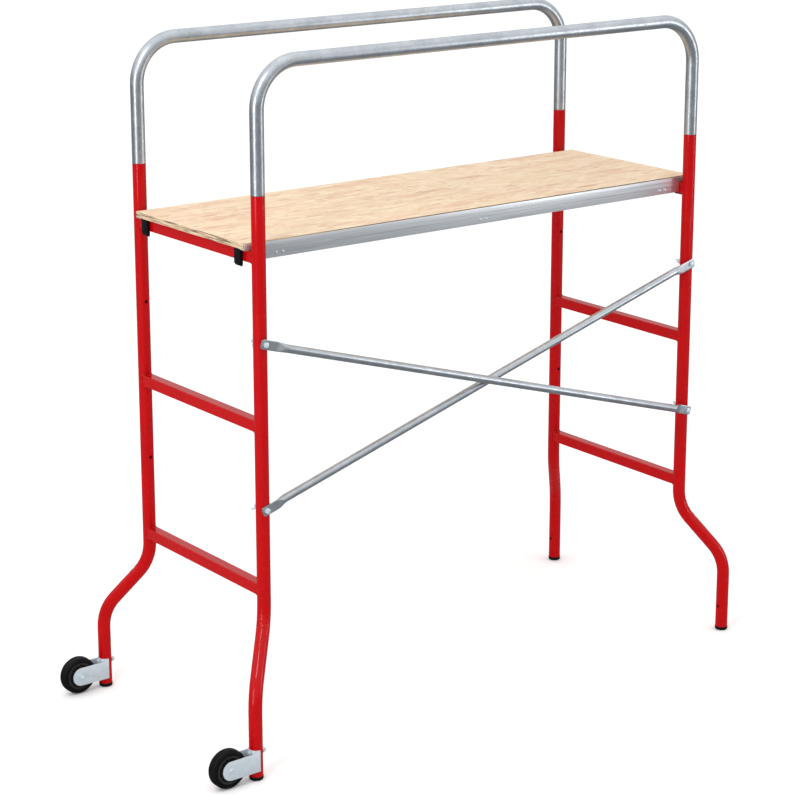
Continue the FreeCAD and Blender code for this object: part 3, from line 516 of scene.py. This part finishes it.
def make_screws():
    """Pan heads under the deck with a lobed recess, and threaded shanks in the board."""
    for node in ("clip_screws", "board_screws"):
        shell = bmesh.new()
        for low, high in solids(node):
            middle = (low + high) / 2
            radius = (high.x - low.x) / 2
            shank = radius / 2
            profile = [(0, RECESS_DEPTH), recess(RECESS_DEPTH), recess(0.0001)]
            profile += [(radius * 0.7, 0), (radius * 0.92, 0.0004), (radius, 0.0009)]
            profile += [(radius, SCREW_HEAD), (shank, SCREW_HEAD)]
            profile += threads(shank, SCREW_HEAD, high.z - low.z - SCREW_HEAD)
            lathe(shell, profile, (middle.x, middle.y, low.z), (0, 0, 1), steps=36)
        add_piece(f"{node}_turned", shell, "deck", "zinc_plated_steel", [node])


# ---------------------------------------------------------------- end frames

PLUG_FLANGE = 0.010
PLUG_CLEARANCE = 0.00205       # a post's wall and the gap inside it
PLUG_DISH = 0.0008
PLUG_ROUND = 0.0045
PLUG_TIP = 0.002


def make_plugs():
    """Moulded plugs: a dished foot with a rounded edge, a flange and a chamfered spigot."""
    for end in ENDS:
        for side in SIDES:
            node = f"foot_{side}_{end}"
            low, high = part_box(node)
            radius = (high.x - low.x) / 2
            middle = (low + high) / 2
            spigot, height = POST_RADIUS - PLUG_CLEARANCE, high.z - low.z
            profile = [(0, PLUG_DISH), (radius - 0.008, PLUG_DISH), (radius - 0.0065, 0)]
            profile += [(radius - inward, up) for up, inward in rounding(PLUG_ROUND, 6)]
            profile += [(radius, PLUG_FLANGE - 0.0012), (radius - 0.0004, PLUG_FLANGE - 0.0003),
                        (radius - 0.0008, PLUG_FLANGE)]
            profile += [(spigot, PLUG_FLANGE), (spigot, height - PLUG_TIP), (spigot - PLUG_TIP, height),
                        (0, height)]
            shell = bmesh.new()
            lathe(shell, profile, (middle.x, middle.y, low.z), (0, 0, 1), steps=64)
            add_piece(f"{node}_moulded", shell, "frame", "black_plastic", [node])


CREASE_LOW, CREASE_HIGH = 0.285, 0.410
CREASE_STEP = 0.0018           # between the cuts that the creases are shaped on
CREASE_PITCH = 0.013
CREASE_DEPTH = 0.0019
CREASE_WANDER = 0.8


def crease_post(shell, outward):
    """Press creases into the side of a post that faces outward."""
    for step in range(int((CREASE_HIGH - CREASE_LOW) / CREASE_STEP) + 1):
        spot = (0, 0, CREASE_LOW + step * CREASE_STEP)
        everything = shell.verts[:] + shell.edges[:] + shell.faces[:]
        bmesh.ops.bisect_plane(shell, geom=everything, plane_co=spot, plane_no=(0, 0, 1), dist=MERGE)
    shell.normal_update()
    moves = []
    for vert in shell.verts:
        share = (vert.co.z - CREASE_LOW) / (CREASE_HIGH - CREASE_LOW)
        facing = vert.normal.dot(outward)
        if 0 < share < 1 and facing > 0:
            wander = CREASE_WANDER * noise.noise(vert.co * 40)
            wave = 0.5 + 0.5 * math.sin(math.tau * (vert.co.z / CREASE_PITCH + wander))
            depth = CREASE_DEPTH * math.sin(math.pi * share) ** 2 * facing ** 3 * wave
            moves.append((vert, vert.co - vert.normal * depth))
    for vert, spot in moves:
        vert.co = spot


def make_posts():
    """The posts, creased where bending has crushed the inside of the S-bend's upper turn."""
    for end, sign in zip(ENDS, (-1, 1)):
        for side in SIDES:
            node = f"post_{side}_{end}"
            shell = merged(node)
            crease_post(shell, Vector((sign, SIDES[side], 0)).normalized())
            add_piece(f"{node}_bent", shell, "frame", "red_paint", [node])


WELD_RADIUS = 0.0021
WELD_STEPS = 120
WELD_RIPPLES = 30
WELD_SIDES = 8
RUNG_POWER = 9                 # squareness of a rung's outline


def squared(angle, power):
    """The reach of a rounded square, or of a circle at a power of 2, for a half width of 1."""
    return (abs(math.cos(angle)) ** power + abs(math.sin(angle)) ** power) ** (-1 / power)


def weld_loop(centre, side):
    """The line where a square rung meets a round post, and how the bead swells along it."""
    spots = []
    for step in range(WELD_STEPS):
        angle = math.tau * step / WELD_STEPS
        reach = RUNG_HALF * squared(angle, RUNG_POWER)
        x, z = reach * math.cos(angle), reach * math.sin(angle)
        y = side * (POST_Y - math.sqrt(POST_RADIUS ** 2 - x ** 2))
        ripple = 1 + 0.10 * math.sin(WELD_RIPPLES * angle) + 0.08 * random.uniform(-1, 1)
        spots.append((centre + Vector((x, y, z)), ripple))
    return spots


def add_weld(shell, centre, side):
    spots = weld_loop(centre, side)
    rings = []
    for number, (spot, ripple) in enumerate(spots):
        along = (spots[(number + 1) % len(spots)][0] - spots[number - 1][0]).normalized()
        outward = Vector((spot.x - centre.x, 0, spot.z - centre.z))
        outward = (outward - along * outward.dot(along)).normalized()
        across = along.cross(outward)
        ring = []
        for step in range(WELD_SIDES):
            angle = math.tau * step / WELD_SIDES
            direction = outward * math.cos(angle) + across * math.sin(angle)
            ring.append(shell.verts.new(spot + WELD_RADIUS * ripple * direction))
        rings.append(ring)
    for number, ring in enumerate(rings):
        join_rings(shell, ring, rings[(number + 1) % len(rings)])


def make_welds():
    for end in ENDS:
        for level in ("lower", "middle", "top"):
            low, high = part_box(f"rung_{end}_{level}")
            centre = (low + high) / 2
            for side, sign in SIDES.items():
                shell = bmesh.new()
                add_weld(shell, centre, sign)
                add_piece(f"weld_{end}_{level}_{side}", shell, "frame", "red_paint", sharp=60)


# ---------------------------------------------------------------- braces

TAB_HALF = 0.0125
TAB_THICK = 0.003
TAB_REACH = 0.030              # flat part, from the bolt
TAPER = 0.034
TAB_CORNER = 0.006
TAB_POWER = 10                 # squareness of the pressed end; the tube's is 2
TUBE_RADIUS = 0.0105
BRACE_SIDES = 48


def ease(share):
    share = min(1, max(0, share))
    return share * share * (3 - 2 * share)


def brace_section(from_bolt, lean):
    """Half height, half thickness, offset and squareness of a brace at a distance from its bolt."""
    blend = ease((from_bolt - TAB_REACH) / TAPER)
    high = TAB_HALF + (TUBE_RADIUS - TAB_HALF) * blend
    from_tip = from_bolt + TAB_HALF
    if from_tip < TAB_CORNER:
        high += -TAB_CORNER + math.sqrt(max(0, TAB_CORNER ** 2 - (TAB_CORNER - from_tip) ** 2))
    thick = TAB_THICK / 2 + (TUBE_RADIUS - TAB_THICK / 2) * blend
    offset = lean * (TUBE_RADIUS - TAB_THICK / 2) * blend
    return high, thick, offset, 2 + (TAB_POWER - 2) * (1 - blend) ** 2


def make_braces():
    """Round tubes with pressed flat ends; each lies on one side of its tabs."""
    bolts = [(low + high) / 2 for low, high in solids("brace_bolts")]
    for node, rise, lean in (("brace_rising", 1, 1), ("brace_falling", -1, -1)):
        low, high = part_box(node)
        y = low.y + TAB_THICK / 2 if lean > 0 else high.y - TAB_THICK / 2
        left = [spot for spot in bolts if spot.x < 0]
        right = [spot for spot in bolts if spot.x > 0]
        start = min(left, key=lambda spot: rise * spot.z)
        finish = max(right, key=lambda spot: rise * spot.z)
        start, finish = Vector((start.x, y, start.z)), Vector((finish.x, y, finish.z))
        length = (finish - start).length
        along = (finish - start).normalized()
        upward = Vector((0, 1, 0)).cross(along) * -1
        near = [-TAB_HALF + TAB_CORNER * (1 - math.cos(math.pi / 2 * n / 6)) for n in range(7)]
        near += [0] + [TAB_REACH + TAPER * n / 16 for n in range(17)]
        middle = [length * share for share in (0.2, 0.35, 0.5, 0.65, 0.8)]
        shell = bmesh.new()
        rings = []
        for place in near + middle + [length - each for each in reversed(near)]:
            high_half, thick_half, offset, power = brace_section(min(place, length - place), lean)
            ring = []
            for step in range(BRACE_SIDES):
                angle = math.tau * step / BRACE_SIDES
                reach = squared(angle, power)
                spot = start + along * place + upward * high_half * reach * math.sin(angle)
                spot.y += offset + thick_half * reach * math.cos(angle)
                ring.append(shell.verts.new(spot))
            rings.append(ring)
        for lower, upper in zip(rings, rings[1:]):
            join_rings(shell, lower, upper)
        shell.faces.new(rings[0])
        shell.faces.new(rings[-1])
        add_piece(f"{node}_pressed", shell, "frame", "galvanised_steel", [node])


# ---------------------------------------------------------------- deck

BOARD_EDGE = 0.0008
BOARD_COLUMNS = 160
BOARD_LAYERS = 16
SAWN_DEPTH = 0.0005


def sawn_depth(y, height, end):
    """How far the saw has torn the end of the board at a place."""
    rough = noise.noise((y * 45, height * 900, end * 7.3)) + 0.5 * noise.noise((y * 220, height * 900, end))
    return SAWN_DEPTH * max(0, rough)


def make_board():
    """The board, with rough strand layers showing at both sawn ends."""
    low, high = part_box("deck_board")
    middle = (low + high) / 2
    half_x, half_y = (high.x - low.x) / 2, (high.y - low.y) / 2
    thick = high.z - low.z
    levels = [(thick * layer / BOARD_LAYERS, 0) for layer in range(BOARD_LAYERS - 1)]
    levels += [(thick - down, inset) for inset, down in rounding(BOARD_EDGE, 3)]
    shell = bmesh.new()
    rings = []
    for height, inset in levels:
        ring = []
        for end in (1, -1):
            for column in range(BOARD_COLUMNS + 1):
                y = end * (half_y - inset) * (2 * column / BOARD_COLUMNS - 1)
                depth = sawn_depth(y, height, end) if 0 < height < thick - BOARD_EDGE else 0
                x = end * (half_x - inset - depth)
                ring.append(shell.verts.new((middle.x + x, middle.y + y, low.z + height)))
        rings.append(ring)
    for lower, upper in zip(rings, rings[1:]):
        join_rings(shell, lower, upper)
    shell.faces.new(rings[0])
    shell.faces.new(rings[-1])
    add_piece("deck_board_sawn", shell, "deck", "plywood", ["deck_board"], sharp=25)


def make_softened():
    """Hooks, rails, forks and wing nuts with the small radii that moulding, drawing and pressing leave."""
    for end in ENDS:
        for side in SIDES:
            softened(f"deck_clip_{side}_{end}", "deck", "black_plastic", 0.0009)
        for level in ("upper", "lower"):
            node = f"wing_nut_{end}_{level}"
            softened(node, node, "zinc_plated_steel", 0.0006)
    for side in SIDES:
        softened(f"deck_rail_{side}", "deck", "aluminium", 0.0004)
        softened(f"fork_{side}", "frame", "zinc_plated_steel", 0.0006)


# ---------------------------------------------------------------- wheels

TYRE_RIM = 0.037
TYRE_SHOULDER = 0.008
TREAD_GROOVE = 0.0007
HUB_BORE = 0.00655
HUB_RADIUS = 0.013
HUB_WEB = 0.0045               # half the thickness of the web
HUB_FACE = 0.014               # half the width of the rim
HUB_RIM = 0.031                # inner radius of the rim
HUB_EDGE = 0.0004
HUB_BORE_EDGE = 0.0006
WEB_FILLET = 0.0015
RIBS = 6
RIB_ROOT = 0.0006              # how far a rib reaches into the web
RIB_TOP = 0.0115
RIB_ROOT_HALF = 0.0014
RIB_TOP_HALF = 0.0010


def mirrored(profile):
    """A profile of one half of a wheel, followed by the other half."""
    return profile + [(radius, -height) for radius, height in reversed(profile)]


def make_wheels():
    """Tyres with a parting line and side rings, on ribbed moulded centres."""
    for side in SIDES:
        low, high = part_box(f"tyre_{side}")
        middle = (low + high) / 2
        radius, half = (high.z - low.z) / 2, (high.y - low.y) / 2
        wall = [(TYRE_RIM, half), (TYRE_RIM + 0.0012, half), (TYRE_RIM + 0.0018, half - 0.0006),
                (TYRE_RIM + 0.0026, half - 0.0006), (TYRE_RIM + 0.0032, half), (radius - TYRE_SHOULDER, half)]
        shoulder = [(radius - down, half - inward) for inward, down in rounding(TYRE_SHOULDER, 7)[1:]]
        tread = [(radius, 0.0042), (radius - TREAD_GROOVE, 0.0038), (radius - TREAD_GROOVE, 0.0030),
                 (radius, 0.0026)]
        shell = bmesh.new()
        lathe(shell, mirrored(wall + shoulder + tread), middle, (0, 1, 0), closed=True, steps=96)
        add_piece(f"tyre_{side}_moulded", shell, f"wheel_{side}", "rubber", [f"tyre_{side}"])
        make_hub(side)


def make_hub(side):
    """A moulded centre: bored hub, web with ribs on both faces, and rim."""
    low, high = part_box(f"hub_{side}")
    middle = (low + high) / 2
    radius, half = (high.z - low.z) / 2, (high.y - low.y) / 2
    hub = [(HUB_BORE, half - HUB_BORE_EDGE), (HUB_BORE + HUB_BORE_EDGE, half), (HUB_RADIUS - 0.0008, half),
           (HUB_RADIUS, half - 0.0008)]
    web = [(HUB_RADIUS + 0.0006, HUB_WEB + WEB_FILLET), (HUB_RADIUS + 0.002, HUB_WEB),
           (HUB_RIM - WEB_FILLET, HUB_WEB), (HUB_RIM, HUB_WEB + WEB_FILLET)]
    rim = [(HUB_RIM + 0.0008, HUB_FACE - 0.0006), (HUB_RIM + 0.0014, HUB_FACE), (radius - HUB_EDGE, HUB_FACE),
           (radius, HUB_FACE - HUB_EDGE)]
    shell = bmesh.new()
    lathe(shell, mirrored(hub + web + rim), middle, (0, 1, 0), closed=True, steps=72)
    for rib in range(RIBS):
        turn = Matrix.Translation(middle) @ Matrix.Rotation(math.tau * (rib + 0.5) / RIBS, 4, "Y")
        for face in (-1, 1):
            add_rib(shell, turn, face)
    add_piece(f"hub_{side}_moulded", shell, f"wheel_{side}", "grey_plastic", [f"hub_{side}"])


def add_rib(shell, turn, face):
    """A rib between hub and rim on one face of the web, a little thinner at its top."""
    inner, outer = HUB_RADIUS - 0.0004, HUB_RIM + 0.0006
    verts = []
    for y, half in ((face * (HUB_WEB - RIB_ROOT), RIB_ROOT_HALF), (face * RIB_TOP, RIB_TOP_HALF)):
        for x, z in ((inner, -half), (outer, -half), (outer, half), (inner, half)):
            verts.append(shell.verts.new(turn @ Vector((x, y, z))))
    lower, upper = verts[:4], verts[4:]
    shell.faces.new(lower)
    shell.faces.new(upper)
    join_rings(shell, lower, upper)


random.seed(41)
make_bolts()
make_axle_bolts()
make_nuts()
make_washers()
make_rivets()
make_screws()
make_plugs()
make_posts()
make_welds()
make_braces()
make_board()
make_softened()
make_wheels()


# ---------------------------------------------------------------- studio

FLOOR_SIZE = 60
FLOOR_GAP = 0.0005             # below the feet
WORLD_STRENGTH = 1.3
WORLD_GREYS = ((0.0, 0.25), (0.3, 0.7), (1.0, 1.0))      # from the horizon up
CAMERA_PLACE = (-3.67025, -4.7506, 2.5152)
CAMERA_YAW = math.radians(52.487)
CAMERA_PITCH = math.radians(-14.278)
CAMERA_LENS = 103.06
SENSOR_WIDTH = 36
LENS_SHIFT = -0.10


def ray_kind(tree, kind):
    """An output that is 1 for rays of a kind, such as Camera or Glossy."""
    return tree.nodes.new("ShaderNodeLightPath").outputs[f"Is {kind} Ray"]


def make_floor():
    """A pale floor whose colour turns dark grey for glossy rays, a painted dim reflection of it in the metal.
    """
    bpy.ops.mesh.primitive_plane_add(size=FLOOR_SIZE, location=(0, 0, -FLOOR_GAP))
    floor = bpy.context.object
    floor.name = "studio_floor"
    look = Look("studio_floor", roughness=0.9, Specular_IOR_Level=0.0)
    pale = look.spread(look.noise(1.5), 0.96, 0.98)
    # Painted dim reflection: glossy rays see the floor dark grey, all other rays see it pale
    look.link(look.mix(ray_kind(look.tree, "Glossy"), pale, (0.24, 0.25, 0.26)), "Base Color")
    floor.data.materials.append(look.material)


def add_area(name, place, target, width, height, power):
    """A rectangular lamp at a place, facing a target."""
    lamp = bpy.data.lights.new(name, "AREA")
    lamp.shape = "RECTANGLE"
    lamp.size, lamp.size_y, lamp.energy = width, height, power
    thing = bpy.data.objects.new(name, lamp)
    thing.location = place
    thing.rotation_euler = (Vector(target) - Vector(place)).to_track_quat("-Z", "Y").to_euler()
    bpy.context.scene.collection.objects.link(thing)


def make_world():
    """A room that is bright overhead and dim at its sides, in front of a white backdrop."""
    world = bpy.data.worlds.new("studio")
    world.use_nodes = True
    tree = world.node_tree
    split = tree.nodes.new("ShaderNodeSeparateXYZ")
    tree.links.new(tree.nodes.new("ShaderNodeTexCoord").outputs["Generated"], split.inputs["Vector"])
    ramp = tree.nodes.new("ShaderNodeValToRGB")
    ramp.color_ramp.elements.new(0.5)
    for element, (position, grey) in zip(ramp.color_ramp.elements, WORLD_GREYS):
        element.position = position
        element.color = (grey, grey, grey, 1)
    tree.links.new(split.outputs["Z"], ramp.inputs["Fac"])
    mix = tree.nodes.new("ShaderNodeMix")
    mix.data_type = "RGBA"
    mix.inputs[MIX_SECOND].default_value = (1, 1, 1, 1)
    tree.links.new(ray_kind(tree, "Camera"), mix.inputs[MIX_FACTOR])
    tree.links.new(ramp.outputs["Color"], mix.inputs[MIX_FIRST])
    tree.links.new(mix.outputs[MIX_RESULT], tree.nodes["Background"].inputs["Color"])
    tree.nodes["Background"].inputs["Strength"].default_value = WORLD_STRENGTH
    bpy.context.scene.world = world


def make_camera():
    """The photograph's viewpoint, from a fit of the frame's sizes to the picture."""
    data = bpy.data.cameras.new("camera")
    data.sensor_width = SENSOR_WIDTH
    data.lens = CAMERA_LENS
    data.shift_y = LENS_SHIFT
    data.clip_end = 100
    camera = bpy.data.objects.new("camera", data)
    camera.location = CAMERA_PLACE
    level = math.cos(CAMERA_PITCH)
    forward = Vector((math.cos(CAMERA_YAW) * level, math.sin(CAMERA_YAW) * level, math.sin(CAMERA_PITCH)))
    camera.rotation_euler = forward.to_track_quat("-Z", "Y").to_euler()
    bpy.context.scene.collection.objects.link(camera)
    bpy.context.scene.camera = camera


bpy.context.scene.view_settings.view_transform = "Standard"
make_floor()
make_world()
add_area("key", (-2.9, -1.4, 3.9), (-0.3, -0.2, 0.6), 0.8, 0.8, 30)
add_area("left_fill", (-5.5, -1.6, 1.6), (0, 0, 0.9), 1.6, 2.6, 70)
add_area("strip", (4.6, -4.6, 1.3), (0, 0, 0.9), 0.8, 2.6, 50)
make_camera()
